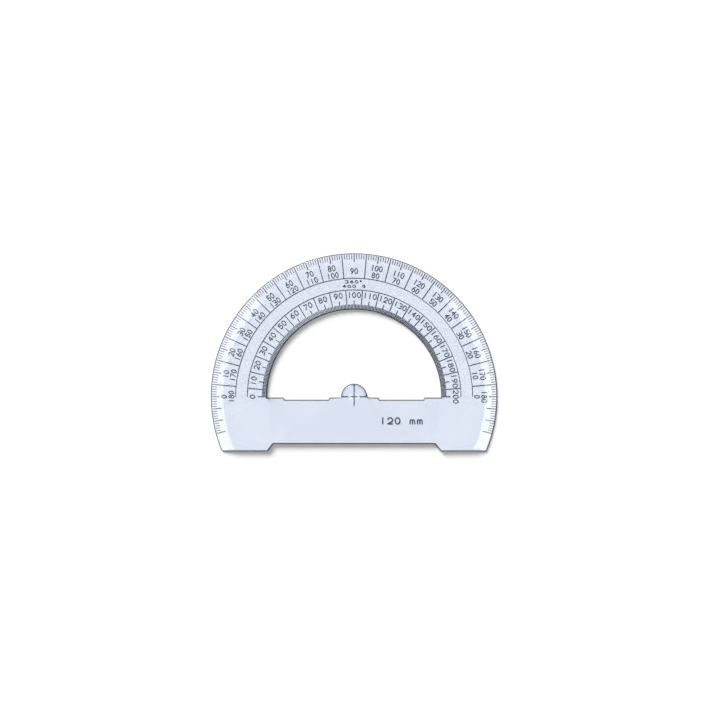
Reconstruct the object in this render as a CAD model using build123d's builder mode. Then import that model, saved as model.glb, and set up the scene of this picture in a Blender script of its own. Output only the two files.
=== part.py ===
"""A 12 cm transparent drawing protractor with a degree scale, a gon scale and a raised-leg base.

Millimetres. The origin is the centre mark, where the cross lines meet, on the flat underside.
+X runs along the base line to the right, +Y towards the ninety degree mark, +Z out of the top face.
The marks are printed on the underside and read the right way round from above, through the clear
plastic. Where they are, the underside is relieved a little, so that they don't rub on the paper.
"""
from build123d import *
from math import atan2, cos, degrees, hypot, radians, sin
import os

# Body outline
outer_diameter = 120.0
base_depth = 23.0  # centre line to the bottom of the feet
foot_corner_radius = 1.0
recess_half_width = 33.8  # half of the recess between the feet, at its top
recess_height = 3.1
recess_slant = 2.4  # how far each foot leans inwards over the recess height
recess_corner_radius = 0.5

# Body section
body_thickness = 1.8
outer_edge_thickness = 0.8
outer_bevel_width = 5.3
window_edge_thickness = 1.4
window_bevel_width = 4.0
foot_edge_chamfer = 0.35

# Window, finger notches in its straight side, and the centre tab
window_drop = 0.35  # how far the straight side lies below the centre line
notch_start = 10.3  # centre mark to the near end of a notch
notch_end_gap = 7.0  # far end of a notch to the window's corner
notch_depth = 0.9
notch_slant = 0.4  # how far each end of a notch leans over its depth
tab_radius = 5.45
tab_bevel_width = 1.2
tab_edge_thickness = 0.9
tab_root_radius = 0.6
dimple_radius = 2.1
dimple_depth = 0.35

# The three bands of the rim, from the outer edge to the window
degree_band_width = 10.4
plain_band_width = 4.9
gon_band_width = 8.3

# Relief of the underside behind the marks
relief_depth = 0.10
relief_lip = 0.3  # edge that still touches the paper, outside the relief
relief_margin = 0.5  # room around the marks

# Ink
ink_thickness = 0.05
fine_pen = 0.22
pen = 0.32
line_pen = 0.26
mark_gap = 0.06  # clear plastic between marks that meet

# Degree scale
degree_edge_gap = 0.6  # clear edge outside the ticks
fine_tick_length = 1.9
overrun_tick_length = 3.8
overrun_degrees = 15
inner_row_rise = 1.8  # scale line to the middle of the inner row of numerals
row_gap = 0.63  # clear plastic between the two rows
ninety_rise = 3.0  # scale line to the middle of the single numeral at ninety
ten_tick_gap = 0.815  # clear plastic between the outer row and the ten degree ticks
degree_digit_width = 1.15
degree_digit_height = 2.05
degree_digit_pitch = 1.72
unit_pen = 0.28
unit_digit_height = 1.05
unit_digit_width = 1.2
unit_digit_pitch = 2.05
unit_row_gap = 0.57  # clear plastic between the two unit marks of the plain band

# Gon scale
gon_edge_gap = 0.2
gon_fine_tick_length = 2.1
gon_fine_pen = 0.34
gon_ten_tick_gap = 0.965  # clear plastic between the numerals and the ten gon ticks
gon_row_inset = 2.15  # scale line to the middle of the numerals
gon_digit_height = 2.05
gon_numeral_gap = 0.355  # clear plastic between the longest numeral and the lines beside it
gon_digit_share = 0.66  # width of a digit beside the pitch of the digits
longest_gon_numeral = 3  # digits
gon_cell_angle = 9.0  # degrees taken by ten gon

# Centre cross
cross_pen = 0.38
cross_tail = 3.9
cross_break_width = 0.6  # the base line is broken where it crosses the rim of the dimple

# Size mark on the base
size_mark_centre = 19.75
size_pen = 0.5
size_digit_height = 2.55
size_digit_width = 1.95
size_digit_pitch = 3.1

# Shapes of the figures: angles in degrees, and shares of the figure's own height or width
two_hook_angle = 165
two_neck_angle = -35
four_rung_drop = 1 / 6
five_corner_angle = 140
five_tail_angle = -150
six_belly = 0.29
eight_waist = 0.08  # how far the waist lies above the middle
eight_head_width = 0.84
g_opening_angle = 45
m_shoulder = 1 / 3
ring_radius = 0.25

# Working allowances
cut_margin = 1.0  # how far a cutting shape reaches past what it cuts
same_place = 0.01  # tolerance when corners and edges are picked by their place
far_away = 2 * outer_diameter  # side of a rectangle that keeps or cuts one side of a plane

# Worked out from the sizes above
outer_radius = outer_diameter / 2
degree_line_radius = outer_radius - degree_band_width
gon_line_radius = degree_line_radius - plain_band_width
window_radius = gon_line_radius - gon_band_width
bar_top = -window_drop
bar_bottom = recess_height - base_depth
degree_tick_outer = outer_radius - degree_edge_gap
inner_row_radius = degree_line_radius + inner_row_rise
outer_row_radius = inner_row_radius + degree_digit_height + pen + row_gap
ten_tick_inner = outer_row_radius + degree_digit_height / 2 + pen / 2 + ten_tick_gap
ten_tick_length = degree_tick_outer - ten_tick_inner
plain_band_middle = (degree_line_radius + gon_line_radius) / 2
unit_row_offset = (unit_digit_height + unit_pen + unit_row_gap) / 2
gon_tick_inner = window_radius + gon_edge_gap
gon_row_radius = gon_line_radius - gon_row_inset
gon_ten_tick_outer = gon_row_radius - gon_digit_height / 2 - pen / 2 - gon_ten_tick_gap
gon_ten_tick_length = gon_ten_tick_outer - gon_tick_inner
gon_cell_room = radians(gon_cell_angle) * gon_row_radius - 2 * pen - 2 * gon_numeral_gap
gon_digit_pitch = gon_cell_room / (longest_gon_numeral - 1 + gon_digit_share)
gon_digit_width = gon_digit_share * gon_digit_pitch
size_mark_text = f"{outer_diameter:.0f} mm"
size_mark_middle = (bar_top + bar_bottom) / 2
ink_plane = Plane.XY.offset(relief_depth - ink_thickness)


def turned(x, y, angle):
    """A place in the plane of the marks, turned by an angle in degrees."""
    return Location((x, y, 0), (0, 0, 1), angle)


def spokes(angles, radius):
    """One place at each angle on a circle, with its X axis pointing outwards."""
    return [turned(radius * cos(radians(a)), radius * sin(radians(a)), a) for a in angles]


def stroke(start, end, width):
    """A straight pen stroke with round ends."""
    run = (end[0] - start[0], end[1] - start[1])
    middle = ((start[0] + end[0]) / 2, (start[1] + end[1]) / 2)
    with Locations(turned(*middle, degrees(atan2(run[1], run[0])))):
        SlotCenterToCenter(hypot(*run), width)


def bow(centre, radius, start_angle, sweep, width):
    """A pen stroke along an arc, with round ends."""
    SlotArc(CenterArc(centre, radius, start_angle, sweep, mode=Mode.PRIVATE), width)


def loop(centre, x_radius, y_radius, width):
    """A closed oval pen stroke."""
    outside = Ellipse(x_radius + width / 2, y_radius + width / 2, mode=Mode.PRIVATE)
    inside = Ellipse(x_radius - width / 2, y_radius - width / 2, mode=Mode.PRIVATE)
    with Locations(centre):
        add(outside - inside)


def on_arc(centre, radius, angle):
    """The point at an angle on an arc."""
    return (centre[0] + radius * cos(radians(angle)), centre[1] + radius * sin(radians(angle)))


def glyph(character, width, height, pen_width):
    """One figure or letter as pen strokes, centred on its cell."""
    right, top = width / 2, height / 2
    with BuildSketch() as shape:
        if character == "0":
            loop((0, 0), right, top, pen_width)
        elif character == "1":
            stroke((0, -top), (0, top), pen_width)
        elif character == "2":
            centre = (0, top - right)
            bow(centre, right, two_hook_angle, two_neck_angle - two_hook_angle, pen_width)
            stroke(on_arc(centre, right, two_neck_angle), (-right, -top), pen_width)
            stroke((-right, -top), (right, -top), pen_width)
        elif character == "3":
            bowl = height / 4
            side = right - bowl
            bow((side, bowl), bowl, 90, -180, pen_width)
            bow((side, -bowl), bowl, 90, -180, pen_width)
            stroke((-right, top), (side, top), pen_width)
            stroke((side - bowl / 2, 0), (side, 0), pen_width)
            stroke((-right, -top), (side, -top), pen_width)
        elif character == "4":
            stem = right / 2
            rung = -four_rung_drop * height
            stroke((stem, top), (-right, rung), pen_width)
            stroke((-right, rung), (right, rung), pen_width)
            stroke((stem, top), (stem, -top), pen_width)
        elif character == "5":
            centre = (0, right - top)
            corner = on_arc(centre, right, five_corner_angle)
            bow(centre, right, five_corner_angle, five_tail_angle - five_corner_angle, pen_width)
            stroke(corner, (corner[0], top), pen_width)
            stroke((corner[0], top), (right, top), pen_width)
        elif character in "69":
            belly = six_belly * height
            side = 1 if character == "6" else -1
            loop((0, side * (belly - top)), right, belly, pen_width)
            shoulder = (-side * right / 2, side * top / 2)
            stroke((-side * right, side * (belly - top)), shoulder, pen_width)
            stroke(shoulder, (side * right / 2, side * top), pen_width)
        elif character == "7":
            stroke((-right, top), (right, top), pen_width)
            stroke((right, top), (-right / 2, -top), pen_width)
        elif character == "8":
            waist = eight_waist * top
            loop((0, (waist - top) / 2), right, (waist + top) / 2, pen_width)
            loop((0, (waist + top) / 2), eight_head_width * right, (top - waist) / 2, pen_width)
        elif character == "G":
            bow((0, 0), min(right, top), g_opening_angle, 360 - g_opening_angle, pen_width)
            stroke((0, 0), (min(right, top), 0), pen_width)
        elif character == "m":
            arch = right / 2
            shoulder = m_shoulder * top - arch
            bow((-arch, shoulder), arch, 0, 180, pen_width)
            bow((arch, shoulder), arch, 0, 180, pen_width)
            for x in (-right, 0, right):
                stroke((x, -top), (x, shoulder), pen_width)
        elif character == "*":
            ring = ring_radius * height
            loop((ring - right, top - ring), ring, ring, pen_width)
    return shape.sketch


def write(numerals, width, height, pitch, pen_width):
    """Fill the open sketch with numerals, each given as its text, its middle and its turn."""
    places = {}
    for text, x, y, angle in numerals:
        for index, character in enumerate(text):
            along = (index - (len(text) - 1) / 2) * pitch
            place = turned(x + along * cos(radians(angle)), y + along * sin(radians(angle)), angle)
            places.setdefault(character, []).append(place)
    for character, locations in places.items():
        if character != " ":
            with Locations(*locations):
                add(glyph(character, width, height, pen_width))


def around(values, value_angle, radius):
    """Numerals on a circle with their tops outwards, for write()."""
    rows = []
    for value in values:
        angle = value_angle(value)
        x, y = radius * cos(radians(angle)), radius * sin(radians(angle))
        rows.append((str(value), x, y, angle - 90))
    return rows


def degree_angle(value):
    """The direction of a clockwise degree value, which starts at the left."""
    return 180 - value


def gon_angle(value):
    """The direction of a gon value, which starts at the left."""
    return 180 - 0.9 * value


# ---------------------------------------------------------------- degree scale
fives = range(-overrun_degrees, 181 + overrun_degrees, 5)
tens = range(0, 181, 10)
cell_edges = range(5, 180, 10)
overruns = [a for a in fives if a < 0 or a > 180]
fine = [a for a in range(-overrun_degrees, 181 + overrun_degrees) if a % 5]

with BuildPart() as degree_fine_ticks:
    with BuildSketch(ink_plane):
        with Locations(*spokes(fine, degree_tick_outer - fine_tick_length / 2)):
            Rectangle(fine_tick_length, fine_pen)
    extrude(amount=ink_thickness)

with BuildPart() as degree_ten_ticks:
    with BuildSketch(ink_plane):
        with Locations(*spokes(tens, degree_tick_outer - ten_tick_length / 2)):
            Rectangle(ten_tick_length, pen)
    extrude(amount=ink_thickness)

with BuildPart() as degree_overrun_marks:
    with BuildSketch(ink_plane):
        with Locations(*spokes(overruns, degree_tick_outer - overrun_tick_length / 2)):
            Rectangle(overrun_tick_length, pen)
    extrude(amount=ink_thickness)

degree_divider_inner = degree_line_radius + line_pen / 2 + mark_gap
degree_divider_length = degree_tick_outer - degree_divider_inner
with BuildPart() as degree_cell_dividers:
    with BuildSketch(ink_plane):
        with Locations(*spokes(cell_edges, degree_divider_inner + degree_divider_length / 2)):
            Rectangle(degree_divider_length, pen)
    extrude(amount=ink_thickness)

with BuildPart() as degree_scale_line:
    with BuildSketch(ink_plane):
        bow((0, 0), degree_line_radius, 0, 180, line_pen)
    extrude(amount=ink_thickness)

degree_style = (degree_digit_width, degree_digit_height, degree_digit_pitch, pen)
beside_ninety = [value for value in tens if value != 90]

with BuildPart() as degree_numerals_clockwise:
    with BuildSketch(ink_plane):
        write(around(beside_ninety, degree_angle, outer_row_radius), *degree_style)
    extrude(amount=ink_thickness)

with BuildPart() as degree_numerals_counterclockwise:
    with BuildSketch(ink_plane):
        write(around(beside_ninety, lambda value: value, inner_row_radius), *degree_style)
    extrude(amount=ink_thickness)

with BuildPart() as degree_numeral_ninety:
    with BuildSketch(ink_plane):
        write(around([90], degree_angle, degree_line_radius + ninety_rise), *degree_style)
    extrude(amount=ink_thickness)

unit_style = (unit_digit_width, unit_digit_height, unit_digit_pitch, unit_pen)
with BuildPart() as degree_unit_mark:
    with BuildSketch(ink_plane):
        write([("360*", 0, plain_band_middle + unit_row_offset, 0)], *unit_style)
    extrude(amount=ink_thickness)

# ------------------------------------------------------------------- gon scale
gon_tens = [gon_angle(value) for value in range(0, 201, 10)]
gon_cell_edges = [gon_angle(value) for value in range(5, 200, 10)]
gon_fine = [gon_angle(value) for value in range(0, 201) if value % 5]

with BuildPart() as gon_fine_ticks:
    with BuildSketch(ink_plane):
        with Locations(*spokes(gon_fine, gon_tick_inner + gon_fine_tick_length / 2)):
            Rectangle(gon_fine_tick_length, gon_fine_pen)
    extrude(amount=ink_thickness)

with BuildPart() as gon_ten_ticks:
    with BuildSketch(ink_plane):
        with Locations(*spokes(gon_tens, gon_tick_inner + gon_ten_tick_length / 2)):
            Rectangle(gon_ten_tick_length, pen)
    extrude(amount=ink_thickness)

gon_divider_length = gon_line_radius - line_pen / 2 - mark_gap - gon_tick_inner
with BuildPart() as gon_cell_dividers:
    with BuildSketch(ink_plane):
        with Locations(*spokes(gon_cell_edges, gon_tick_inner + gon_divider_length / 2)):
            Rectangle(gon_divider_length, pen)
    extrude(amount=ink_thickness)

with BuildPart() as gon_scale_line:
    with BuildSketch(ink_plane):
        bow((0, 0), gon_line_radius, 0, 180, line_pen)
    extrude(amount=ink_thickness)

gon_style = (gon_digit_width, gon_digit_height, gon_digit_pitch, pen)
with BuildPart() as gon_numerals:
    with BuildSketch(ink_plane):
        write(around(range(0, 201, 10), gon_angle, gon_row_radius), *gon_style)
    extrude(amount=ink_thickness)

with BuildPart() as gon_unit_mark:
    with BuildSketch(ink_plane):
        write([("400 G", 0, plain_band_middle - unit_row_offset, 0)], *unit_style)
    extrude(amount=ink_thickness)

# ------------------------------------------------- centre cross and size mark
with BuildPart() as centre_vertical_line:
    with BuildSketch(ink_plane):
        with Locations((0, (tab_radius - cross_tail) / 2)):
            Rectangle(cross_pen, tab_radius + cross_tail - 2 * mark_gap)
    extrude(amount=ink_thickness)

near_dash = dimple_radius - cross_break_width / 2 - cross_pen / 2 - mark_gap
far_dash = tab_radius - mark_gap - dimple_radius - cross_break_width / 2
with BuildPart() as centre_horizontal_line:
    with BuildSketch(ink_plane):
        for side in (-1, 1):
            with Locations((side * (cross_pen / 2 + mark_gap + near_dash / 2), 0)):
                Rectangle(near_dash, cross_pen)
            with Locations((side * (tab_radius - mark_gap - far_dash / 2), 0)):
                Rectangle(far_dash, cross_pen)
    extrude(amount=ink_thickness)

size_style = (size_digit_width, size_digit_height, size_digit_pitch, size_pen)
with BuildPart() as size_mark:
    with BuildSketch(ink_plane):
        write([(size_mark_text, size_mark_centre, size_mark_middle, 0)], *size_style)
    extrude(amount=ink_thickness)

# ------------------------------------------------------------------------ body
with BuildSketch() as window:
    Circle(window_radius)
    with Locations((0, bar_top)):
        Rectangle(far_away, far_away, align=(Align.CENTER, Align.MIN), mode=Mode.INTERSECT)
    notch_far = window_radius - notch_end_gap
    for side in (-1, 1):
        with BuildLine():
            Polyline(
                (side * notch_start, bar_top),
                (side * (notch_start + notch_slant), bar_top - notch_depth),
                (side * (notch_far - notch_slant), bar_top - notch_depth),
                (side * notch_far, bar_top),
                close=True,
            )
        make_face()
    Circle(tab_radius, mode=Mode.SUBTRACT)
    straight_side = window.vertices().filter_by(lambda v: abs(v.Y - bar_top) < same_place)
    fillet(straight_side.filter_by(lambda v: abs(v.X) < tab_radius), tab_root_radius)

with BuildSketch() as plan:
    Circle(outer_radius)
    with Locations((0, -base_depth)):
        Rectangle(far_away, far_away, align=(Align.CENTER, Align.MIN), mode=Mode.INTERSECT)
    with BuildLine():
        Polyline(
            (-recess_half_width - recess_slant, -base_depth),
            (-recess_half_width, bar_bottom),
            (recess_half_width, bar_bottom),
            (recess_half_width + recess_slant, -base_depth),
            close=True,
        )
    make_face(mode=Mode.SUBTRACT)
    ends = plan.vertices().filter_by(lambda v: abs(v.Y + base_depth) < same_place)
    outer_end = recess_half_width + recess_slant + same_place
    fillet(ends.filter_by(lambda v: abs(v.X) > outer_end), foot_corner_radius)
    recess_tops = plan.vertices().filter_by(lambda v: abs(abs(v.X) - recess_half_width) < same_place)
    fillet(recess_tops, recess_corner_radius)
    add(window.sketch, mode=Mode.SUBTRACT)

# Relief behind both scales and the centre cross
with BuildSketch() as scale_relief:
    Circle(outer_radius - relief_lip)
    with Locations((0, -cross_tail - relief_margin)):
        Rectangle(far_away, far_away, align=(Align.CENTER, Align.MIN), mode=Mode.INTERSECT)

# Relief behind the ticks that run on past the base line
overrun_reach = outer_radius * sin(radians(overrun_degrees)) + relief_margin
with BuildSketch() as overrun_relief:
    Circle(outer_radius - relief_lip)
    Circle(degree_tick_outer - overrun_tick_length - relief_margin, mode=Mode.SUBTRACT)
    with Locations((0, -overrun_reach)):
        Rectangle(far_away, far_away, align=(Align.CENTER, Align.MIN), mode=Mode.INTERSECT)

# Relief behind the size mark
size_mark_width = (len(size_mark_text) - 1) * size_digit_pitch + size_digit_width + size_pen
size_mark_height = size_digit_height + size_pen
with BuildSketch() as relief:
    with Locations((size_mark_centre, size_mark_middle)):
        Rectangle(size_mark_width + 2 * relief_margin, size_mark_height + 2 * relief_margin)
    add(scale_relief.sketch)
    add(overrun_relief.sketch)

marks = {
    "degree_fine_ticks": degree_fine_ticks,
    "degree_ten_ticks": degree_ten_ticks,
    "degree_overrun_marks": degree_overrun_marks,
    "degree_cell_dividers": degree_cell_dividers,
    "degree_scale_line": degree_scale_line,
    "degree_numerals_clockwise": degree_numerals_clockwise,
    "degree_numerals_counterclockwise": degree_numerals_counterclockwise,
    "degree_numeral_ninety": degree_numeral_ninety,
    "degree_unit_mark": degree_unit_mark,
    "gon_fine_ticks": gon_fine_ticks,
    "gon_ten_ticks": gon_ten_ticks,
    "gon_cell_dividers": gon_cell_dividers,
    "gon_scale_line": gon_scale_line,
    "gon_numerals": gon_numerals,
    "gon_unit_mark": gon_unit_mark,
    "centre_vertical_line": centre_vertical_line,
    "centre_horizontal_line": centre_horizontal_line,
    "size_mark": size_mark,
}

dimple_sphere = (dimple_radius**2 + dimple_depth**2) / (2 * dimple_depth)

with BuildPart() as body:
    add(plan.sketch)
    extrude(amount=body_thickness)
    top_edges = body.edges().filter_by(lambda e: e.center().Z > body_thickness - same_place)
    chamfer(top_edges.filter_by(lambda e: e.center().Y < bar_bottom + same_place), foot_edge_chamfer)
    # Bevelled outer edge, all the way round to the feet
    with BuildSketch(Plane.XZ):
        with BuildLine():
            Polyline(
                (outer_radius - outer_bevel_width, body_thickness),
                (outer_radius, outer_edge_thickness),
                (outer_radius + cut_margin, outer_edge_thickness),
                (outer_radius + cut_margin, body_thickness + cut_margin),
                (outer_radius - outer_bevel_width, body_thickness + cut_margin),
                close=True,
            )
        make_face()
    revolve(axis=Axis.Z, mode=Mode.SUBTRACT)
    # Bevelled window edge, on the half-round side only
    with BuildSketch(Plane.XZ):
        with BuildLine():
            Polyline(
                (window_radius + window_bevel_width, body_thickness),
                (window_radius, window_edge_thickness),
                (window_radius - cut_margin, window_edge_thickness),
                (window_radius - cut_margin, body_thickness + cut_margin),
                (window_radius + window_bevel_width, body_thickness + cut_margin),
                close=True,
            )
        make_face()
    revolve(axis=Axis.Z, revolution_arc=180, mode=Mode.SUBTRACT)
    # Bevelled rim of the centre tab
    with BuildSketch(Plane.XZ):
        with BuildLine():
            Polyline(
                (tab_radius - tab_bevel_width, body_thickness),
                (tab_radius, tab_edge_thickness),
                (tab_radius + cut_margin, tab_edge_thickness),
                (tab_radius + cut_margin, body_thickness + cut_margin),
                (tab_radius - tab_bevel_width, body_thickness + cut_margin),
                close=True,
            )
        make_face()
    revolve(axis=Axis.Z, revolution_arc=180, mode=Mode.SUBTRACT)
    # Shallow dimple over the centre mark
    with Locations((0, 0, body_thickness - dimple_depth + dimple_sphere)):
        Sphere(dimple_sphere, mode=Mode.SUBTRACT)
    # Relief behind the marks
    add(relief.sketch)
    extrude(amount=relief_depth, mode=Mode.SUBTRACT)

os.makedirs("parts", exist_ok=True)
body.part.label = "body"
export_step(body.part, "parts/body.step")
for name, mark in marks.items():
    mark.part.label = name
    export_step(mark.part, f"parts/{name}.step")
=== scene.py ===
"""Finish of a transparent drawing protractor: clear moulded plastic, printed scales, and a pale studio table.

Run as a script. It is laid out as an add-on: the sizes and colours are properties of the scene, each
piece or group of like pieces has its own operator, and main() calls the operators in order.
"""
from math import asin, atan2, cos, degrees, hypot, pi, radians, sin, sqrt, tan

import bmesh
import bpy
from bpy.props import FloatProperty, FloatVectorProperty, IntProperty, PointerProperty
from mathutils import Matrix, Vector, geometry


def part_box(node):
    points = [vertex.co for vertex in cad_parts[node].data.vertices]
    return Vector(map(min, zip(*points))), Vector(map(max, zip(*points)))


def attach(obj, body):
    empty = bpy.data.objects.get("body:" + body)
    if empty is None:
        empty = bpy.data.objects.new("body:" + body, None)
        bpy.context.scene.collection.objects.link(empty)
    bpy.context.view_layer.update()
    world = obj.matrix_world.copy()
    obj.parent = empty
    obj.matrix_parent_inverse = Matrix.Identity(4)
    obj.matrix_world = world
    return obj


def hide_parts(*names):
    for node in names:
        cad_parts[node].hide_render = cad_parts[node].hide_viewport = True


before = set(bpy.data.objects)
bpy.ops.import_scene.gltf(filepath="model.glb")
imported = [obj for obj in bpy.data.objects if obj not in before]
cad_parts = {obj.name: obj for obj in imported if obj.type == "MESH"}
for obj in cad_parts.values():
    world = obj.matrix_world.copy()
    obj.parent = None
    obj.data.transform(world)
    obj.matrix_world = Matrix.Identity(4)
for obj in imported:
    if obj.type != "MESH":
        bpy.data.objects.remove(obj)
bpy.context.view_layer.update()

bl_info = {
    "name": "Drawing protractor",
    "version": (1, 0, 0),
    "blender": (4, 5, 0),
    "location": "3D View > Sidebar > Protractor",
    "description": "Makes the clear body, the printed scales and the table of a drawing protractor",
    "category": "Object",
}

MM = 0.001
BODY_LOW, BODY_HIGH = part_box("body")
INK_LOW, INK_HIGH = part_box("centre_vertical_line")
OUTER_RADIUS = BODY_HIGH.y
ROOT = "root"
HALF_TURN = 180.0
OVERRUN = 15.0  # degrees that the degree scale runs on past the base line
GON = 0.9  # degrees
TEN_GON = 9.0  # degrees
KEPT_MARKS = (
    "degree_scale_line",
    "degree_numerals_clockwise",
    "degree_numerals_counterclockwise",
    "degree_numeral_ninety",
    "degree_unit_mark",
    "gon_scale_line",
    "gon_numerals",
    "gon_unit_mark",
    "centre_vertical_line",
    "centre_horizontal_line",
    "size_mark",
)


def length_property(name, text, default):
    """A length in metres that the sidebar shows in millimetres."""
    return FloatProperty(name=name, description=text, default=default, unit="LENGTH", precision=5)


def number_property(name, text, default):
    """A plain number."""
    return FloatProperty(name=name, description=text, default=default)


# ------------------------------------------------------------------ settings
class ProtractorBodySettings(bpy.types.PropertyGroup):
    """Sizes of the moulded body that its box doesn't give."""

    bevel_width: length_property("Rim bevel", "Width of the sloping outer edge", 5.3 * MM)
    edge_thickness: length_property("Rim edge", "Thickness left at the outer edge", 0.8 * MM)
    window_radius: length_property("Window radius", "Radius of the half-round window", 36.4 * MM)
    window_bevel: length_property("Window bevel", "Width of the sloping window edge", 4.0 * MM)
    window_edge: length_property("Window edge", "Thickness left at the window's edge", 1.4 * MM)
    window_drop: length_property("Window drop", "Centre line down to the window's straight side", 0.35 * MM)
    notch_start: length_property("Notch start", "Centre mark to the near end of a notch", 10.3 * MM)
    notch_end_gap: length_property("Notch end gap", "Far end of a notch to the window's corner", 7.0 * MM)
    notch_depth: length_property("Notch depth", "Depth of the notches in the straight side", 0.9 * MM)
    notch_slant: length_property("Notch slant", "How far an end of a notch leans over its depth", 0.4 * MM)
    tab_radius: length_property("Tab radius", "Radius of the half-round centre tab", 5.45 * MM)
    tab_bevel: length_property("Tab bevel", "Width of the sloping edge of the tab", 1.2 * MM)
    tab_edge: length_property("Tab edge", "Thickness left at the tab's edge", 0.9 * MM)
    tab_root: length_property("Tab root", "Radius where the tab meets the bar", 0.6 * MM)
    dimple_radius: length_property("Dimple radius", "Radius of the dimple over the centre mark", 2.1 * MM)
    dimple_depth: length_property("Dimple depth", "Depth of the dimple over the centre mark", 0.35 * MM)
    recess_half: length_property("Recess half width", "Half of the recess between the feet", 33.8 * MM)
    recess_height: length_property("Recess height", "Height of the recess between the feet", 3.1 * MM)
    recess_slant: length_property("Recess slant", "How far a foot leans over the recess height", 2.4 * MM)
    recess_corner: length_property("Recess corner", "Radius of the corners of the recess", 0.7 * MM)
    foot_corner: length_property("Foot corner", "Radius of the outer corner of a foot", 1.0 * MM)
    notch_corner: length_property("Notch corner", "Radius of the raised corners of the notches", 0.7 * MM)
    notch_root: length_property("Notch root", "Radius of the sunk corners of the notches", 0.15 * MM)
    slope_margin: length_property("Slope margin", "Strip of a slope kept beside a rounded edge", 0.04 * MM)
    top_round: length_property("Top rounding", "Rounding of the upper edges", 0.35 * MM)
    under_round: length_property("Under rounding", "Rounding of the lower edges", 0.08 * MM)
    wall_draft: length_property("Wall draft", "Lean of a wall of full height towards the top", 0.36 * MM)
    tab_draft: length_property("Tab draft", "The same for the wall of the centre tab", 0.12 * MM)
    round_steps: IntProperty(
        name="Rounding steps", description="Strips in each rounded edge", default=6, min=1,
    )
    thick_tint: FloatVectorProperty(
        name="Thick tint", description="Colour of the plastic at full thickness",
        subtype="COLOR", default=(0.855, 0.882, 0.90), min=0, max=1,
    )
    thin_tint: FloatVectorProperty(
        name="Thin tint", description="Colour of the plastic at its thin edges",
        subtype="COLOR", default=(0.95, 0.96, 0.96), min=0, max=1,
    )
    # Painted shade: steep slopes and rounded edges get a darker plastic colour, standing in for the dark
    # lines that refraction and reflection give the edges of a clear plate.
    steep_painted_shade: FloatVectorProperty(
        name="Steep painted shade", description="Colour of the plastic seen through a steep slope",
        subtype="COLOR", default=(0.48, 0.51, 0.57), min=0, max=1,
    )
    # Painted-out reflection: on steep slopes the gloss is dimmed by colour, so that the key light's glint on
    # the tab's bevel barely shows.
    steep_glint_dimming: FloatVectorProperty(
        name="Steep glint dimming", description="Share of the gloss that is left on a steep slope",
        subtype="COLOR", default=(0.03, 0.03, 0.03), min=0, max=1,
    )
    # Painted shade: the walls are drawn opaque and near black, standing in for the dark look that trapped
    # light gives the edges of clear plastic.
    wall_painted_shade: FloatVectorProperty(
        name="Wall painted shade", description="Colour of the dull walls of the plate",
        subtype="COLOR", default=(0.03, 0.034, 0.042), min=0, max=1,
    )
    steep_from: number_property("Steep from", "Upward share of its normal that makes a face a wall", 0.797)
    face_shadow: FloatVectorProperty(
        name="Face shadow", description="Light that a flat face lets through to the table",
        subtype="COLOR", default=(0.76, 0.775, 0.822), min=0, max=1,
    )
    wall_shadow: FloatVectorProperty(
        name="Wall shadow", description="Light that a wall lets through to the table",
        subtype="COLOR", default=(0.05, 0.055, 0.065), min=0, max=1,
    )


class ProtractorScaleSettings(bpy.types.PropertyGroup):
    """Sizes of the radial marks of both scales."""

    edge_gap: length_property("Edge gap", "Clear rim outside the degree ticks", 0.6 * MM)
    fine_length: length_property("Fine tick", "Length of a single degree tick", 1.9 * MM)
    ten_length: length_property("Ten tick", "Length of a ten degree tick", 3.0 * MM)
    overrun_length: length_property("Overrun tick", "Length of the ticks past the base line", 3.8 * MM)
    divider_length: length_property("Divider", "Length of the lines between degree cells", 9.61 * MM)
    gon_gap: length_property("Gon gap", "Clear rim inside the gon ticks", 0.2 * MM)
    gon_fine_length: length_property("Fine gon tick", "Length of a single gon tick", 2.1 * MM)
    gon_ten_length: length_property("Ten gon tick", "Length of a ten gon tick", 3.8 * MM)
    gon_divider_length: length_property("Gon divider", "Length of the lines between gon cells", 7.91 * MM)
    fine_pen: length_property("Fine pen", "Width of the fine degree ticks", 0.22 * MM)
    gon_fine_pen: length_property("Fine gon pen", "Width of the fine gon ticks", 0.34 * MM)
    pen: length_property("Pen", "Width of the other marks", 0.32 * MM)
    ink_colour: FloatVectorProperty(
        name="Ink colour", description="Colour of the printed marks",
        subtype="COLOR", default=(0.016, 0.02, 0.034), min=0, max=1,
    )


class ProtractorStageSettings(bpy.types.PropertyGroup):
    """Table, lights and camera."""

    floor_size: length_property("Table", "Width of the table top", 24.0)
    floor_colour: FloatVectorProperty(
        name="Table colour", description="Colour of the table top",
        subtype="COLOR", default=(0.93, 0.93, 0.93), min=0, max=1,
    )
    camera_height: length_property("Camera height", "Height of the camera over the table", 1.2)
    view_width: length_property("View width", "Width of table that the camera takes in", 0.2973)
    camera_across: length_property("Camera across", "The camera's place right of the centre mark", 0.0004)
    camera_along: length_property("Camera along", "The camera's place above the base line", 0.0174)
    key_strength: number_property("Key light", "Strength of the light from a window", 5.8)
    key_spread: number_property("Key spread", "Degrees of sky that the window fills", 34.0)
    key_height: number_property("Key height", "Degrees of the window over the table", 26.0)
    key_bearing: number_property("Key bearing", "Degrees round from the right", 122.0)
    fill_radiance: number_property("Soft boxes", "Brightness of the side soft boxes", 4.0)
    fill_across: length_property("Soft boxes across", "Centre mark to the middle of a soft box", 0.49)
    fill_along: length_property("Soft boxes along", "Their middles above the base line", 0.05)
    fill_height: length_property("Soft boxes up", "Height of their middles over the table", 1.05)
    fill_depth: length_property("Soft box depth", "Size of a soft box along Y", 0.66)
    fill_width: length_property("Soft box width", "Size of a soft box across", 0.26)
    world_grey: number_property("Room", "Brightness of the room around the table", 0.12)


# ----------------------------------------------------------- outline helpers
SHARPEST_CORNER = 0.3  # share of a move that goes square to the side of a corner, at the least


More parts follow.
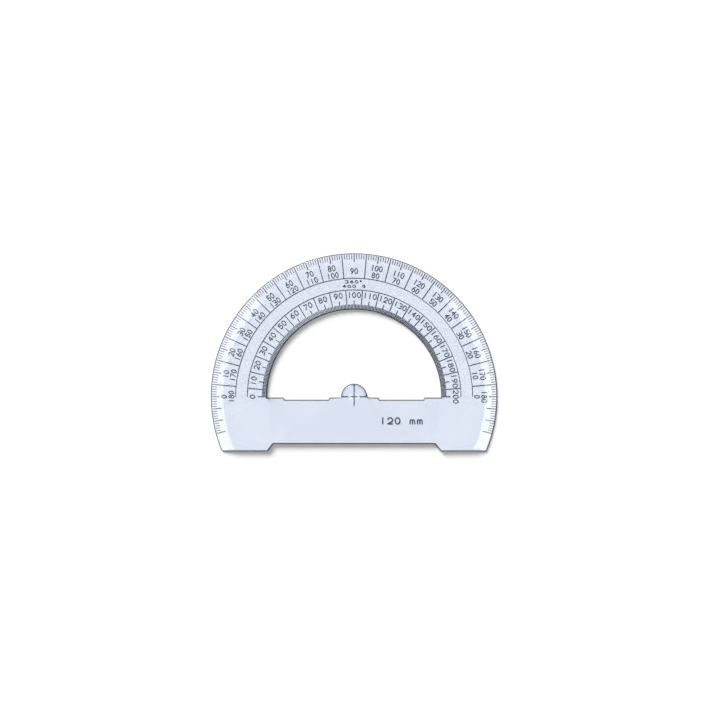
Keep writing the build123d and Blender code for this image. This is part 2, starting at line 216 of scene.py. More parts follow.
def on_circle(radius, angle, centre=(0.0, 0.0)):
    """The point at an angle in degrees on a circle."""
    return (centre[0] + radius * cos(radians(angle)), centre[1] + radius * sin(radians(angle)))


def arc_points(radius, first, last, step=1.0):
    """Evenly spaced points on an arc about the centre mark, ends included."""
    count = max(1, round(abs(last - first) / step))
    return [on_circle(radius, first + (last - first) * i / count) for i in range(count + 1)]


def rounded(corners, steps=5):
    """A closed outline from (point, radius) corners: a corner with a radius becomes a short arc."""
    outline = []
    for index, (point, radius) in enumerate(corners):
        if radius <= 0:
            outline.append(point)
            continue
        before = Vector(corners[index - 1][0]) - Vector(point)
        after = Vector(corners[(index + 1) % len(corners)][0]) - Vector(point)
        half = before.angle(after) / 2
        reach = radius / tan(half)
        inwards = (before.normalized() + after.normalized()).normalized()
        middle = Vector(point) + inwards * (radius / sin(half))
        start = Vector(point) + before.normalized() * reach - middle
        end = Vector(point) + after.normalized() * reach - middle
        first, sweep = atan2(start.y, start.x), start.angle_signed(end)
        for i in range(steps + 1):
            angle = first - sweep * i / steps
            outline.append((middle.x + radius * cos(angle), middle.y + radius * sin(angle)))
    return outline


def moved_left(outline, distances):
    """The closed outline with each point moved to the left of its direction by its small distance."""
    moved = []
    for index, (point, distance) in enumerate(zip(outline, distances)):
        before = (Vector(point) - Vector(outline[index - 1])).normalized()
        after = (Vector(outline[(index + 1) % len(outline)]) - Vector(point)).normalized()
        left = Vector((-before.y - after.y, before.x + after.x)).normalized()
        share = max(left.dot(Vector((-before.y, before.x))), SHARPEST_CORNER)
        moved.append((point[0] + left.x * distance / share, point[1] + left.y * distance / share))
    return moved


def inside(point, outline):
    """True if the point lies inside the closed outline."""
    x, y = point
    odd = False
    last = outline[-1]
    for here in outline:
        if (here[1] > y) != (last[1] > y):
            if x < (last[0] - here[0]) * (y - here[1]) / (last[1] - here[1]) + here[0]:
                odd = not odd
        last = here
    return odd


# --------------------------------------------------------------- clear body
TAB_STEP = 5.0  # degrees between the points of the tab's arcs
DIMPLE_STEP = 7.5  # degrees between the points of the dimple's rings
DIMPLE_RINGS = 5
CLEAR_SHARE = 1.15  # where the lines of the top end, beside the reach of the rounded edges
LEVEL = 0.99999  # upward share of the normal of a face that counts as flat
GENTLE = 0.97  # the same for a face that counts as a gentle slope
CREASE_TURN = radians(5)
SHARP_TURN = radians(35)
DELAUNAY_GAP = 1e-5


def body_outline(s):
    """The outer outline, anticlockwise, from the right foot over the arc to the left foot."""
    base = BODY_LOW.y
    low_angle = degrees(asin(base / OUTER_RADIUS))
    arc = [(p, 0) for p in arc_points(OUTER_RADIUS, low_angle, HALF_TURN - low_angle)]
    arc[0] = (arc[0][0], s.foot_corner)
    arc[-1] = (arc[-1][0], s.foot_corner)
    recess_top = base + s.recess_height
    feet = [
        ((-s.recess_half - s.recess_slant, base), s.recess_corner),
        ((-s.recess_half, recess_top), s.recess_corner),
        ((s.recess_half, recess_top), s.recess_corner),
        ((s.recess_half + s.recess_slant, base), s.recess_corner),
    ]
    return rounded(arc + feet)


def window_outline(s):
    """The window's outline, anticlockwise, with its notches and the centre tab."""
    side = -s.window_drop
    end_angle = degrees(asin(side / s.window_radius))
    arc = [(p, 0) for p in arc_points(s.window_radius, end_angle, HALF_TURN - end_angle)]
    far = s.window_radius - s.notch_end_gap
    tab_x = sqrt(s.tab_radius**2 - side**2)
    tab_angle = degrees(asin(side / s.tab_radius))
    tab = [(p, 0) for p in arc_points(s.tab_radius, HALF_TURN - tab_angle, tab_angle, TAB_STEP)[1:-1]]
    notch = [
        ((-far, side), s.notch_corner),
        ((-far + s.notch_slant, side - s.notch_depth), s.notch_root),
        ((-s.notch_start - s.notch_slant, side - s.notch_depth), s.notch_root),
        ((-s.notch_start, side), s.notch_corner),
    ]
    mirrored = [((-p[0], p[1]), r) for p, r in reversed(notch)]
    roots = [((-tab_x, side), s.tab_root / 4), ((tab_x, side), s.tab_root / 4)]
    return rounded(arc + notch + roots[:1] + tab + roots[1:] + mirrored)


def top_height(s, x, y):
    """Height of the top face at a place, before its edges are rounded."""
    full = BODY_HIGH.z
    radius = hypot(x, y)
    height = full
    crease = OUTER_RADIUS - s.bevel_width
    if radius > crease:
        height = full - (full - s.edge_thickness) * (radius - crease) / s.bevel_width
    fade = min(max(1 + y / s.window_drop, 0), 1)
    rim = s.window_radius + s.window_bevel
    if s.window_radius - s.window_drop < radius < rim and fade:
        height = full - fade * (full - s.window_edge) * min((rim - radius) / s.window_bevel, 1)
    ring = s.tab_radius - s.tab_bevel
    if ring < radius < s.tab_radius + s.window_drop and fade:
        height = full - fade * (full - s.tab_edge) * min((radius - ring) / s.tab_bevel, 1)
    if radius < s.dimple_radius:
        ball = (s.dimple_radius**2 + s.dimple_depth**2) / (2 * s.dimple_depth)
        height = full - s.dimple_depth + ball - sqrt(ball**2 - radius**2)
    return height


def top_lines(s):
    """Open and closed lines that the faces of the top follow: creases and the rings of the dimple."""
    clear = (s.top_round + s.wall_draft) * CLEAR_SHARE
    base = BODY_LOW.y + clear
    crease = OUTER_RADIUS - s.bevel_width
    low_angle = degrees(asin(base / crease))
    rim = s.window_radius + s.window_bevel
    ring = s.tab_radius - s.tab_bevel
    lines = [
        (arc_points(crease, low_angle, HALF_TURN - low_angle), False),
        (arc_points(rim, 0, HALF_TURN), False),
        (arc_points(ring, 0, HALF_TURN, TAB_STEP), False),
    ]
    for side in (-1, 1):
        for far, near in ((rim, s.window_radius + clear), (ring, s.tab_radius - clear)):
            lines.append(([(side * near, 0), (side * far, 0), (side * far, -s.window_drop)], False))
            lines.append(([(side * near, -s.window_drop), (side * far, -s.window_drop)], False))
    for number in range(DIMPLE_RINGS, 0, -1):
        radius = s.dimple_radius * number / DIMPLE_RINGS
        lines.append((arc_points(radius, 0, 2 * HALF_TURN - DIMPLE_STEP, DIMPLE_STEP), True))
    # A line close beside the rounding keeps the slopes straight in their shading.
    for outline, inwards in ((body_outline(s), 1), (window_outline(s), -1)):
        beside = [inwards * (lean + s.top_round + s.slope_margin) for lean in leans(s, outline)]
        lines.append((moved_left(outline, beside), True))
    return lines


def leans(s, outline):
    """How far the top of the wall lies inside each point of an outline.

    A lower wall leans in less, and the wall of the centre tab has a draft of its own.
    """
    found = []
    for x, y in outline:
        past_tab = min(max((hypot(x, y) - s.tab_radius) / s.tab_root, 0), 1)
        draft = s.tab_draft + (s.wall_draft - s.tab_draft) * past_tab
        found.append(draft * sqrt(top_height(s, x, y) / BODY_HIGH.z))
    return found


def skin(outlines, edge_radius, steps, lines, height, outer, hole, upwards):
    """One face of the plate: vertices and triangles, and the vertices of each outline's own edge."""
    points, drops, edges, rims = [], [], [], []
    for outline, inwards, insets in outlines:
        for step in range(steps + 1):
            turn = pi / 2 * step / steps
            reach = edge_radius * (1 - cos(turn))
            moved = moved_left(outline, [inwards * (inset + reach) for inset in insets])
            first = len(points)
            points += moved
            drops += [edge_radius * (1 - sin(turn))] * len(moved)
            edges += [(first + i, first + (i + 1) % len(moved)) for i in range(len(moved))]
            if not step:
                rims.append(range(first, first + len(moved)))
    for line, closed in lines:
        first = len(points)
        points += line
        drops += [0.0] * len(line)
        edges += [(first + i, first + i + 1) for i in range(len(line) - 1)]
        if closed:
            edges.append((first + len(line) - 1, first))
    flat = [Vector(p) / MM for p in points]
    found, _, faces, origins, _, _ = geometry.delaunay_2d_cdt(flat, edges, [], 0, DELAUNAY_GAP)
    kept = []
    for face in faces:
        middle = sum((found[i] for i in face), Vector((0, 0))) / len(face) * MM
        if inside(middle, outer) and not inside(middle, hole):
            kept.append(face if upwards else tuple(reversed(face)))
    new_index = {old: new for new, olds in enumerate(origins) for old in olds}
    vertices = []
    for place, olds in zip(found, origins):
        x, y = place.x * MM, place.y * MM
        drop = drops[olds[0]] if olds else 0.0
        vertices.append((x, y, height(x, y) - drop if upwards else height(x, y) + drop))
    return vertices, kept, [[new_index[i] for i in rim] for rim in rims]


def plate_mesh(s):
    """The closed mesh of the body: a top, an underside and the walls between them."""
    outer, hole = body_outline(s), window_outline(s)
    upper_outlines, lower_outlines, top_edges = [], [], []
    for outline, inwards in ((outer, 1), (hole, -1)):
        insets = leans(s, outline)
        upper_outlines.append((outline, inwards, insets))
        lower_outlines.append((outline, inwards, [0.0] * len(outline)))
        top_edges.append(moved_left(outline, [inwards * inset for inset in insets]))

    def top(x, y):
        return top_height(s, x, y)

    def under(x, y):
        return BODY_LOW.z

    upper, upper_faces, upper_rims = skin(
        upper_outlines, s.top_round, s.round_steps, top_lines(s), top, *top_edges, True)
    lower, lower_faces, lower_rims = skin(
        lower_outlines, s.under_round, s.round_steps, [], under, outer, hole, False)
    shift = len(upper)
    faces = list(upper_faces) + [tuple(i + shift for i in f) for f in lower_faces]
    for up, down in zip(upper_rims, lower_rims):
        for i in range(len(up)):
            j = (i + 1) % len(up)
            faces.append((up[i], down[i] + shift, down[j] + shift, up[j]))
    mesh = bpy.data.meshes.new("clear_body")
    mesh.from_pydata(upper + lower, [], faces)
    finish_faces(mesh, s.steep_from)
    return mesh


def finish_faces(mesh, steep_from):
    """Turn the faces outwards, give the walls the second, painted-shade material and keep the creases sharp.
    """
    work = bmesh.new()
    work.from_mesh(mesh)
    bmesh.ops.delete(work, geom=[v for v in work.verts if not v.link_faces], context="VERTS")
    bmesh.ops.recalc_face_normals(work, faces=work.faces)
    for face in work.faces:
        face.smooth = abs(face.normal.z) < LEVEL
        face.material_index = int(abs(face.normal.z) < steep_from)
    for edge in work.edges:
        turn = edge.calc_face_angle(0)
        crease = turn > CREASE_TURN and all(abs(face.normal.z) > GENTLE for face in edge.link_faces)
        border = len({face.material_index for face in edge.link_faces}) > 1
        edge.smooth = turn < SHARP_TURN and not crease and not border
    work.to_mesh(mesh)
    work.free()


# ----------------------------------------------------------------- materials
STEEPEST_SEEN = 0.8  # upward share of the normal where a slope has all of the painted steep shade
GENTLEST_SEEN = 0.97  # and where it has none
PALER_WALL = 1.25
PALER_INK = 1.9
INK_LIFT = 0.006
DARKER_TABLE = 0.985
PLASTIC_IOR = 1.49
INK_IOR = 1.5
INK_BUMP = 0.01 * MM


def new_material(name):
    """An empty node material, its tree and its output."""
    material = bpy.data.materials.new(name)
    material.use_nodes = True
    tree = material.node_tree
    tree.nodes.clear()
    return material, tree, tree.nodes.new("ShaderNodeOutputMaterial")


def add_node(tree, kind, **values):
    """A node with values set on its inputs, by name."""
    node = tree.nodes.new(kind)
    for name, value in values.items():
        node.inputs[name.replace("_", " ")].default_value = value
    return node


def mottle_group():
    """Cloudy patches and fine specks, from 0 to 1, shared by the plastic, the ink and the table."""
    group = bpy.data.node_groups.get("surface_mottle")
    if group:
        return group
    group = bpy.data.node_groups.new("surface_mottle", "ShaderNodeTree")
    for name, default in (("Patch Scale", 80.0), ("Speck Scale", 2500.0), ("Speck Share", 0.4)):
        socket = group.interface.new_socket(name=name, in_out="INPUT", socket_type="NodeSocketFloat")
        socket.default_value = default
    group.interface.new_socket(name="Mask", in_out="OUTPUT", socket_type="NodeSocketFloat")
    nodes, links = group.nodes, group.links
    entry, leave = nodes.new("NodeGroupInput"), nodes.new("NodeGroupOutput")
    place = nodes.new("ShaderNodeTexCoord")
    patches, specks = nodes.new("ShaderNodeTexNoise"), nodes.new("ShaderNodeTexNoise")
    patches.inputs["Detail"].default_value = 4.0
    specks.inputs["Detail"].default_value = 2.0
    blend = nodes.new("ShaderNodeMix")
    links.new(place.outputs["Object"], patches.inputs["Vector"])
    links.new(place.outputs["Object"], specks.inputs["Vector"])
    links.new(entry.outputs["Patch Scale"], patches.inputs["Scale"])
    links.new(entry.outputs["Speck Scale"], specks.inputs["Scale"])
    links.new(entry.outputs["Speck Share"], blend.inputs["Factor"])
    links.new(patches.outputs["Fac"], blend.inputs["A"])
    links.new(specks.outputs["Fac"], blend.inputs["B"])
    links.new(blend.outputs["Result"], leave.inputs["Mask"])
    return group


def add_mottle(tree, patch_scale, speck_scale, speck_share=0.5):
    """The shared mottle, placed in a material with its own values."""
    node = tree.nodes.new("ShaderNodeGroup")
    node.node_tree = mottle_group()
    node.inputs["Patch Scale"].default_value = patch_scale
    node.inputs["Speck Scale"].default_value = speck_scale
    node.inputs["Speck Share"].default_value = speck_share
    return node.outputs["Mask"]


def ranged(tree, mask, low, high, floor=0.3, ceiling=0.7):
    """The mask's stretch from floor to ceiling, made to run from low to high."""
    node = tree.nodes.new("ShaderNodeMapRange")
    tree.links.new(mask, node.inputs["Value"])
    for name, value in (("From Min", floor), ("From Max", ceiling), ("To Min", low), ("To Max", high)):
        node.inputs[name].default_value = value
    return node.outputs["Result"]


def set_colour(tree, socket, value):
    """Give a colour socket another socket's colour, or a plain colour."""
    if isinstance(value, bpy.types.NodeSocket):
        tree.links.new(value, socket)
    else:
        socket.default_value = (*value, 1)


def colour_mix(tree, factor, first, second):
    """A colour between two colours. Each is a socket or a plain colour."""
    node = tree.nodes.new("ShaderNodeMix")
    node.data_type = "RGBA"
    tree.links.new(factor, node.inputs["Factor"])
    colours = [socket for socket in node.inputs if socket.type == "RGBA"]
    for socket, value in zip(colours, (first, second)):
        set_colour(tree, socket, value)
    return next(socket for socket in node.outputs if socket.type == "RGBA")


def lit_through(tree, shader, passed, out):
    """Finish a material: a lamp's rays pass through in a colour, and every other ray sees the shader."""
    through = tree.nodes.new("ShaderNodeBsdfTransparent")
    set_colour(tree, through.inputs["Color"], passed)
    path = tree.nodes.new("ShaderNodeLightPath")
    mix = tree.nodes.new("ShaderNodeMixShader")
    tree.links.new(path.outputs["Is Shadow Ray"], mix.inputs[0])
    tree.links.new(shader.outputs[0], mix.inputs[1])
    tree.links.new(through.outputs[0], mix.inputs[2])
    tree.links.new(mix.outputs[0], out.inputs["Surface"])


def rim_mask(tree, place, s):
    """From 0 at the crease of the rim's bevel to 1 at its thin edge."""
    flat = tree.nodes.new("ShaderNodeVectorMath")
    flat.operation = "MULTIPLY"
    flat.inputs[1].default_value = (1, 1, 0)
    tree.links.new(place.outputs["Object"], flat.inputs[0])
    reach = tree.nodes.new("ShaderNodeVectorMath")
    reach.operation = "LENGTH"
    tree.links.new(flat.outputs[0], reach.inputs[0])
    return ranged(tree, reach.outputs["Value"], 0.0, 1.0, OUTER_RADIUS - s.bevel_width, OUTER_RADIUS)


def slope_mask(tree, place):
    """From 0 on a flat face to 1 on a steep slope; it places the painted shade and the dimmed gloss."""
    facing = tree.nodes.new("ShaderNodeSeparateXYZ")
    tree.links.new(place.outputs["Normal"], facing.inputs[0])
    level = tree.nodes.new("ShaderNodeMath")
    level.operation = "ABSOLUTE"
    tree.links.new(facing.outputs["Z"], level.inputs[0])
    return ranged(tree, level.outputs[0], 1.0, 0.0, STEEPEST_SEEN, GENTLEST_SEEN)


def clear_plastic(s):
    """Glossy clear plastic, faintly blue where it is thick, with painted shade and dimmed gloss on its steep
    slopes.
    """
    material, tree, out = new_material("clear_plastic")
    links = tree.links
    place = tree.nodes.new("ShaderNodeTexCoord")
    steepness = slope_mask(tree, place)
    tint = colour_mix(tree, rim_mask(tree, place, s), s.thick_tint, s.thin_tint)
    mottle = add_mottle(tree, patch_scale=60.0, speck_scale=900.0)
    shader = add_node(
        tree, "ShaderNodeBsdfPrincipled", IOR=PLASTIC_IOR, Transmission_Weight=1.0, Metallic=0.0)
    # Painted shade: the colour darkens from the flat faces towards the steep slopes.
    links.new(colour_mix(tree, steepness, tint, s.steep_painted_shade), shader.inputs["Base Color"])
    # Painted-out glint: the reflection is dimmed on steep slopes.
    links.new(colour_mix(tree, steepness, (1.0, 1.0, 1.0), s.steep_glint_dimming), shader.inputs["Specular Tint"])
    links.new(ranged(tree, mottle, 0.01, 0.04), shader.inputs["Roughness"])
    lit_through(tree, shader, s.face_shadow, out)
    return material


def painted_shade_walls(s):
    """The walls of the plate in an opaque near-black colour: painted shade for the dark look of clear walls,
    where light is trapped inside the plastic.
    """
    material, tree, out = new_material("painted_shade_plastic_wall")
    mottle = add_mottle(tree, patch_scale=300.0, speck_scale=3000.0)
    lighter = tuple(PALER_WALL * c for c in s.wall_painted_shade)
    shader = add_node(tree, "ShaderNodeBsdfPrincipled", IOR=PLASTIC_IOR, Metallic=0.0)
    tree.links.new(colour_mix(tree, mottle, s.wall_painted_shade, lighter), shader.inputs["Base Color"])
    tree.links.new(ranged(tree, mottle, 0.25, 0.4), shader.inputs["Roughness"])
    # Light that meets the back of a wall has come in at the top and passes on. Light that meets
    # its front is nearly all held back.
    form = tree.nodes.new("ShaderNodeNewGeometry")
    passed = colour_mix(tree, form.outputs["Backfacing"], s.wall_shadow, s.face_shadow)
    lit_through(tree, shader, passed, out)
    return material


def printed_ink(s):
    """Blue-black printing ink, a little uneven in its density."""
    material = bpy.data.materials.get("printed_ink")
    if material:
        return material
    material, tree, out = new_material("printed_ink")
    mottle = add_mottle(tree, patch_scale=700.0, speck_scale=6000.0)
    lighter = tuple(min(1.0, PALER_INK * c + INK_LIFT) for c in s.ink_colour)
    shader = add_node(tree, "ShaderNodeBsdfPrincipled", IOR=INK_IOR, Metallic=0.0)
    density = ranged(tree, mottle, 0.0, 1.0)
    tree.links.new(colour_mix(tree, density, s.ink_colour, lighter), shader.inputs["Base Color"])
    tree.links.new(ranged(tree, mottle, 0.38, 0.62), shader.inputs["Roughness"])
    bump = add_node(tree, "ShaderNodeBump", Strength=0.2, Distance=INK_BUMP)
    tree.links.new(mottle, bump.inputs["Height"])
    tree.links.new(bump.outputs["Normal"], shader.inputs["Normal"])
    tree.links.new(shader.outputs[0], out.inputs["Surface"])
    return material


def table_top(s):
    """Plain pale paper-smooth table."""
    material, tree, out = new_material("pale_table")
    mottle = add_mottle(tree, patch_scale=30.0, speck_scale=1500.0)
    shade = tuple(DARKER_TABLE * c for c in s.floor_colour)
    shader = add_node(tree, "ShaderNodeBsdfPrincipled", Roughness=0.9, Metallic=0.0)
    shader.inputs["Specular IOR Level"].default_value = 0.0
    tree.links.new(colour_mix(tree, mottle, shade, s.floor_colour), shader.inputs["Base Color"])
    tree.links.new(shader.outputs[0], out.inputs["Surface"])
    return material


# --------------------------------------------------------------- radial ticks
TURN_NAME = "tick_turn"
CORNER_SHARE = 0.3  # rounding of a tick's corners, beside its width
WELD_DISTANCE = 0.001 * MM
NEVER = 1000
TICK_INPUTS = (
    ("Count", "NodeSocketInt", 211),
    ("First Angle", "NodeSocketFloat", -15.0),
    ("Step", "NodeSocketFloat", 1.0),
    ("Leave Out Every", "NodeSocketInt", 5),
    ("Leave Out Offset", "NodeSocketInt", 0),
    ("Clear From", "NodeSocketFloat", NEVER),
    ("Clear To", "NodeSocketFloat", NEVER),
    ("Middle Radius", "NodeSocketFloat", 58 * MM),
    ("Length", "NodeSocketFloat", 2 * MM),
    ("Width", "NodeSocketFloat", 0.2 * MM),
    ("Base Height", "NodeSocketFloat", 0.0),
    ("Film", "NodeSocketFloat", 0.05 * MM),
    ("Ink", "NodeSocketMaterial", None),
)


def math_node(tree, operation, a, b=None):
    """A sum of one or two terms, each a number or a socket."""
    node = tree.nodes.new("ShaderNodeMath")
    node.operation = operation
    for socket, value in zip(node.inputs, (a, b)):
        if isinstance(value, bpy.types.NodeSocket):
            tree.links.new(value, socket)
        elif value is not None:
            socket.default_value = value
    return node.outputs[0]


def tick_points(tree, entry):
    """A point at the middle of each tick, with the tick's turn stored on it."""
    nodes, links = tree.nodes, tree.links
    number = nodes.new("GeometryNodeInputIndex").outputs[0]
    steps = math_node(tree, "MULTIPLY", number, entry.outputs["Step"])
    angle = math_node(tree, "ADD", steps, entry.outputs["First Angle"])
    turn = math_node(tree, "RADIANS", angle)
    radius = entry.outputs["Middle Radius"]
    place = nodes.new("ShaderNodeCombineXYZ")
    links.new(math_node(tree, "MULTIPLY", math_node(tree, "COSINE", turn), radius), place.inputs["X"])
    links.new(math_node(tree, "MULTIPLY", math_node(tree, "SINE", turn), radius), place.inputs["Y"])
    links.new(entry.outputs["Base Height"], place.inputs["Z"])
    points = nodes.new("GeometryNodePoints")
    links.new(entry.outputs["Count"], points.inputs["Count"])
    links.new(place.outputs[0], points.inputs["Position"])
    store = nodes.new("GeometryNodeStoreNamedAttribute")
    store.inputs["Name"].default_value = TURN_NAME
    links.new(points.outputs[0], store.inputs["Geometry"])
    links.new(turn, store.inputs["Value"])
    counted = math_node(tree, "ADD", number, entry.outputs["Leave Out Offset"])
    rest = math_node(tree, "MODULO", counted, entry.outputs["Leave Out Every"])
    left_out = math_node(tree, "LESS_THAN", rest, 0.5)
    past = math_node(tree, "GREATER_THAN", angle, entry.outputs["Clear From"])
    short_of = math_node(tree, "LESS_THAN", angle, entry.outputs["Clear To"])
    in_gap = math_node(tree, "MULTIPLY", past, short_of)
    thin = nodes.new("GeometryNodeDeleteGeometry")
    thin.domain = "POINT"
    links.new(store.outputs[0], thin.inputs["Geometry"])
    links.new(math_node(tree, "MAXIMUM", left_out, in_gap), thin.inputs["Selection"])
    return thin.outputs[0]


def tick_solid(tree, entry):
    """One tick: a closed film with rounded corners, lying along X."""
    nodes, links = tree.nodes, tree.links
    border = nodes.new("GeometryNodeCurvePrimitiveQuadrilateral")
    links.new(entry.outputs["Length"], border.inputs["Width"])
    links.new(entry.outputs["Width"], border.inputs["Height"])
    corner = nodes.new("GeometryNodeFilletCurve")
    corner.mode = "POLY"
    corner.inputs["Count"].default_value = 2
    links.new(border.outputs[0], corner.inputs["Curve"])
    links.new(math_node(tree, "MULTIPLY", entry.outputs["Width"], CORNER_SHARE), corner.inputs["Radius"])
    fill = nodes.new("GeometryNodeFillCurve")
    fill.mode = "NGONS"
    links.new(corner.outputs[0], fill.inputs["Curve"])
    raise_up = nodes.new("GeometryNodeExtrudeMesh")
    raise_up.inputs["Individual"].default_value = False
    links.new(fill.outputs[0], raise_up.inputs["Mesh"])
    links.new(entry.outputs["Film"], raise_up.inputs["Offset Scale"])
    turned = nodes.new("GeometryNodeFlipFaces")
    links.new(fill.outputs[0], turned.inputs["Mesh"])
    both = nodes.new("GeometryNodeJoinGeometry")
    links.new(raise_up.outputs["Mesh"], both.inputs[0])
    links.new(turned.outputs[0], both.inputs[0])
    weld = nodes.new("GeometryNodeMergeByDistance")
    weld.inputs["Distance"].default_value = WELD_DISTANCE
    links.new(both.outputs[0], weld.inputs["Geometry"])
    return weld.outputs[0]


def tick_tree():
    """Radial ticks at even steps of angle: every so many left out, and none between two angles."""
    tree = bpy.data.node_groups.get("radial_ticks")
    if tree:
        return tree
    tree = bpy.data.node_groups.new("radial_ticks", "GeometryNodeTree")
    tree.interface.new_socket(name="Geometry", in_out="OUTPUT", socket_type="NodeSocketGeometry")
    for name, kind, default in TICK_INPUTS:
        socket = tree.interface.new_socket(name=name, in_out="INPUT", socket_type=kind)
        if default is not None:
            socket.default_value = default
    nodes, links = tree.nodes, tree.links
    entry, leave = nodes.new("NodeGroupInput"), nodes.new("NodeGroupOutput")
    heading = nodes.new("GeometryNodeInputNamedAttribute")
    heading.inputs["Name"].default_value = TURN_NAME
    spin = nodes.new("ShaderNodeCombineXYZ")
    links.new(heading.outputs["Attribute"], spin.inputs["Z"])
    scatter = nodes.new("GeometryNodeInstanceOnPoints")
    links.new(tick_points(tree, entry), scatter.inputs["Points"])
    links.new(tick_solid(tree, entry), scatter.inputs["Instance"])
    links.new(spin.outputs[0], scatter.inputs["Rotation"])
    real = nodes.new("GeometryNodeRealizeInstances")
    links.new(scatter.outputs[0], real.inputs[0])
    finish = nodes.new("GeometryNodeSetMaterial")
    links.new(real.outputs[0], finish.inputs["Geometry"])
    links.new(entry.outputs["Ink"], finish.inputs["Material"])
    links.new(finish.outputs[0], leave.inputs["Geometry"])
    return tree


def printed_ticks(node, scales, angles, **values):
    """The ticks that stand for one CAD node, made by the tick tree and turned into a plain mesh.

    angles are the first angle, the last one and the step between ticks, in degrees.
    """
    first, last, step = angles
    tree = tick_tree()
    holder = bpy.data.objects.new("tick_maker", bpy.data.meshes.new("tick_maker"))
    bpy.context.scene.collection.objects.link(holder)
    modifier = holder.modifiers.new("ticks", "NODES")
    modifier.node_group = tree
    given = {
        "Count": round((last - first) / step) + 1, "First Angle": first, "Step": step,
        "Leave Out Every": NEVER, "Leave Out Offset": 1,
        "Clear From": float(NEVER), "Clear To": float(NEVER),
        "Base Height": INK_LOW.z, "Film": INK_HIGH.z - INK_LOW.z, "Ink": printed_ink(scales),
    }
    given.update({name.replace("_", " "): value for name, value in values.items()})
    for item in tree.interface.items_tree:
        if item.in_out == "INPUT" and item.name in given:
            modifier[item.identifier] = given[item.name]
    bpy.context.view_layer.update()
    evaluated = holder.evaluated_get(bpy.context.evaluated_depsgraph_get())
    mesh = bpy.data.meshes.new_from_object(evaluated)
    holder.modifiers.remove(modifier)
    bpy.data.objects.remove(holder)
    if not mesh.polygons:
        raise RuntimeError(f"no ticks were made for {node}")
    piece = bpy.data.objects.new(node + "_print", mesh)
    mesh.name = piece.name
    bpy.context.scene.collection.objects.link(piece)
    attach(piece, ROOT)
    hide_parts(node)
    return piece


# ------------------------------------------------------------------ operators
class PROTRACTOR_OT_body(bpy.types.Operator):
    """Make the clear moulded body with its bevels, rounded edges, window and tab"""

    bl_idname = "protractor.make_body"
    bl_label = "Clear body"

    def execute(self, context):
        settings = context.scene.protractor_body
        piece = bpy.data.objects.new("clear_body", plate_mesh(settings))
        context.scene.collection.objects.link(piece)
        piece.data.materials.append(clear_plastic(settings))
        piece.data.materials.append(painted_shade_walls(settings))
        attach(piece, ROOT)
        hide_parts("body")
        return {"FINISHED"}


class PROTRACTOR_OT_degree_ticks(bpy.types.Operator):
    """Print the radial marks of the degree scale"""

    bl_idname = "protractor.print_degree_ticks"
    bl_label = "Degree ticks"

    def execute(self, context):
        s = context.scene.protractor_scales
        edge = OUTER_RADIUS - s.edge_gap
        printed_ticks(
            "degree_fine_ticks", s, (-OVERRUN, HALF_TURN + OVERRUN, 1.0),
            Leave_Out_Every=5, Leave_Out_Offset=0,
            Middle_Radius=edge - s.fine_length / 2, Length=s.fine_length, Width=s.fine_pen)
        printed_ticks(
            "degree_ten_ticks", s, (0.0, HALF_TURN, 10.0),
            Middle_Radius=edge - s.ten_length / 2, Length=s.ten_length, Width=s.pen)
        printed_ticks(
            "degree_overrun_marks", s, (-OVERRUN, HALF_TURN + OVERRUN, 5.0),
            Clear_From=-1.0, Clear_To=HALF_TURN + 1.0,
            Middle_Radius=edge - s.overrun_length / 2, Length=s.overrun_length, Width=s.pen)
        printed_ticks(
            "degree_cell_dividers", s, (5.0, HALF_TURN - 5.0, 10.0),
            Middle_Radius=edge - s.divider_length / 2, Length=s.divider_length, Width=s.pen)
        return {"FINISHED"}


class PROTRACTOR_OT_gon_ticks(bpy.types.Operator):
    """Print the radial marks of the gon scale"""

    bl_idname = "protractor.print_gon_ticks"
    bl_label = "Gon ticks"

    def execute(self, context):
        s = context.scene.protractor_scales
        edge = context.scene.protractor_body.window_radius + s.gon_gap
        printed_ticks(
            "gon_fine_ticks", s, (0.0, HALF_TURN, GON), Leave_Out_Every=5, Leave_Out_Offset=0,
            Middle_Radius=edge + s.gon_fine_length / 2, Length=s.gon_fine_length, Width=s.gon_fine_pen)
        printed_ticks(
            "gon_ten_ticks", s, (0.0, HALF_TURN, TEN_GON),
            Middle_Radius=edge + s.gon_ten_length / 2, Length=s.gon_ten_length, Width=s.pen)
        printed_ticks(
            "gon_cell_dividers", s, (TEN_GON / 2, HALF_TURN - TEN_GON / 2, TEN_GON),
            Middle_Radius=edge + s.gon_divider_length / 2, Length=s.gon_divider_length, Width=s.pen)
        return {"FINISHED"}


class PROTRACTOR_OT_numerals(bpy.types.Operator):
    """Ink the numerals, the scale lines, the centre cross and the size mark"""

    bl_idname = "protractor.ink_numerals"
    bl_label = "Numerals and lines"

    def execute(self, context):
        ink = printed_ink(context.scene.protractor_scales)
        for name in KEPT_MARKS:
            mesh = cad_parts[name].data
            mesh.materials.clear()
            mesh.materials.append(ink)
        return {"FINISHED"}


def hang_lamp(lamp, place):
    """Hang a lamp at a place, facing the protractor."""
    holder = bpy.data.objects.new(lamp.name, lamp)
    holder.location = place
    holder.rotation_euler = Vector(place).to_track_quat("Z", "Y").to_euler()
    bpy.context.scene.collection.objects.link(holder)


def soft_box(name, side, s):
    """A soft box over the table, at the left (-1) or the right (1)."""
    lamp = bpy.data.lights.new(name, "AREA")
    lamp.shape = "RECTANGLE"
    lamp.size, lamp.size_y = s.fill_depth, s.fill_width
    lamp.energy = s.fill_radiance * pi * s.fill_width * s.fill_depth
    hang_lamp(lamp, (side * s.fill_across, s.fill_along, s.fill_height))


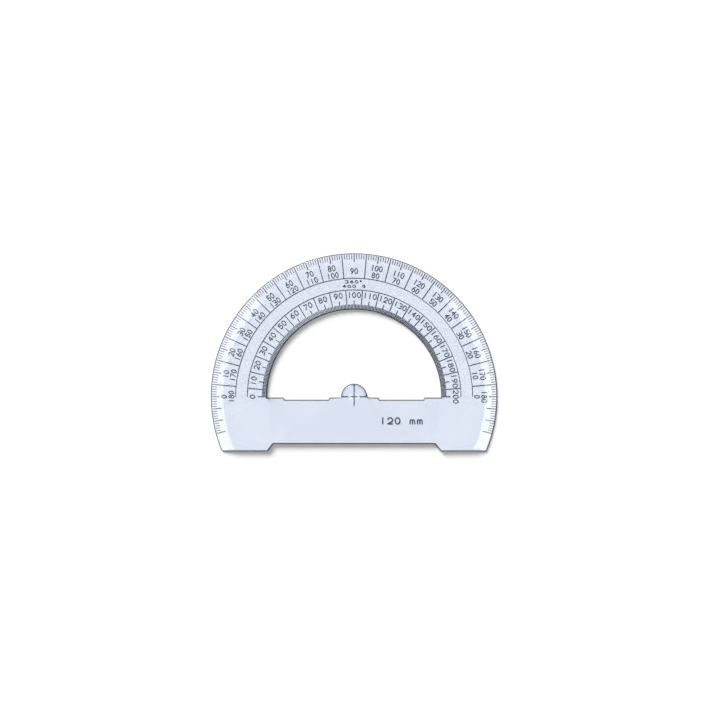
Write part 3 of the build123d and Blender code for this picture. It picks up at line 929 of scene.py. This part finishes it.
def flat_table(s):
    """The table top that the protractor lies on."""
    half, level = s.floor_size / 2, BODY_LOW.z
    corners = [(-half, -half, level), (half, -half, level), (half, half, level), (-half, half, level)]
    mesh = bpy.data.meshes.new("table")
    mesh.from_pydata(corners, [], [(0, 1, 2, 3)])
    mesh.materials.append(table_top(s))
    table = bpy.data.objects.new("table", mesh)
    bpy.context.scene.collection.objects.link(table)


def studio_camera(s):
    """A camera that looks straight down."""
    camera = bpy.data.cameras.new("camera")
    camera.lens = camera.sensor_width * s.camera_height / s.view_width
    holder = bpy.data.objects.new("camera", camera)
    holder.location = (s.camera_across, s.camera_along, s.camera_height)
    bpy.context.scene.collection.objects.link(holder)
    bpy.context.scene.camera = holder


class PROTRACTOR_OT_stage(bpy.types.Operator):
    """Set the table, the soft boxes, the room and the camera"""

    bl_idname = "protractor.set_stage"
    bl_label = "Table, lights and camera"

    def execute(self, context):
        s = context.scene.protractor_stage
        scene = context.scene
        flat_table(s)
        key = bpy.data.lights.new("window_light", "SUN")
        key.energy = s.key_strength
        key.angle = radians(s.key_spread)
        height, around = radians(s.key_height), radians(s.key_bearing)
        hang_lamp(key, (cos(height) * cos(around), cos(height) * sin(around), sin(height)))
        soft_box("left_box", -1, s)
        soft_box("right_box", 1, s)
        world = bpy.data.worlds.new("studio")
        scene.world = world
        world.use_nodes = True
        world.node_tree.nodes["Background"].inputs["Color"].default_value = (s.world_grey,) * 3 + (1,)
        studio_camera(s)
        scene.view_settings.view_transform = "Standard"
        return {"FINISHED"}


SETTINGS = (
    ("protractor_body", ProtractorBodySettings),
    ("protractor_scales", ProtractorScaleSettings),
    ("protractor_stage", ProtractorStageSettings),
)
OPERATORS = (
    PROTRACTOR_OT_stage,
    PROTRACTOR_OT_body,
    PROTRACTOR_OT_degree_ticks,
    PROTRACTOR_OT_gon_ticks,
    PROTRACTOR_OT_numerals,
)


class PROTRACTOR_PT_sidebar(bpy.types.Panel):
    """Lists the operators and the sizes of the protractor"""

    bl_idname = "PROTRACTOR_PT_sidebar"
    bl_label = "Drawing protractor"
    bl_space_type = "VIEW_3D"
    bl_region_type = "UI"
    bl_category = "Protractor"

    def draw(self, context):
        for operator in OPERATORS:
            self.layout.operator(operator.bl_idname)
        for attribute, group in SETTINGS:
            box = self.layout.box()
            for name in group.__annotations__:
                box.prop(getattr(context.scene, attribute), name)


def register():
    """Add the settings, the operators and the panel."""
    for attribute, group in SETTINGS:
        bpy.utils.register_class(group)
        setattr(bpy.types.Scene, attribute, PointerProperty(type=group))
    for item in (*OPERATORS, PROTRACTOR_PT_sidebar):
        bpy.utils.register_class(item)


def unregister():
    """Take the panel, the operators and the settings away again."""
    for item in (PROTRACTOR_PT_sidebar, *reversed(OPERATORS)):
        bpy.utils.unregister_class(item)
    for attribute, group in reversed(SETTINGS):
        delattr(bpy.types.Scene, attribute)
        bpy.utils.unregister_class(group)


def main():
    """Make everything."""
    register()
    for operator in OPERATORS:
        group, name = operator.bl_idname.split(".")
        getattr(getattr(bpy.ops, group), name)()


if __name__ == "__main__":
    main()
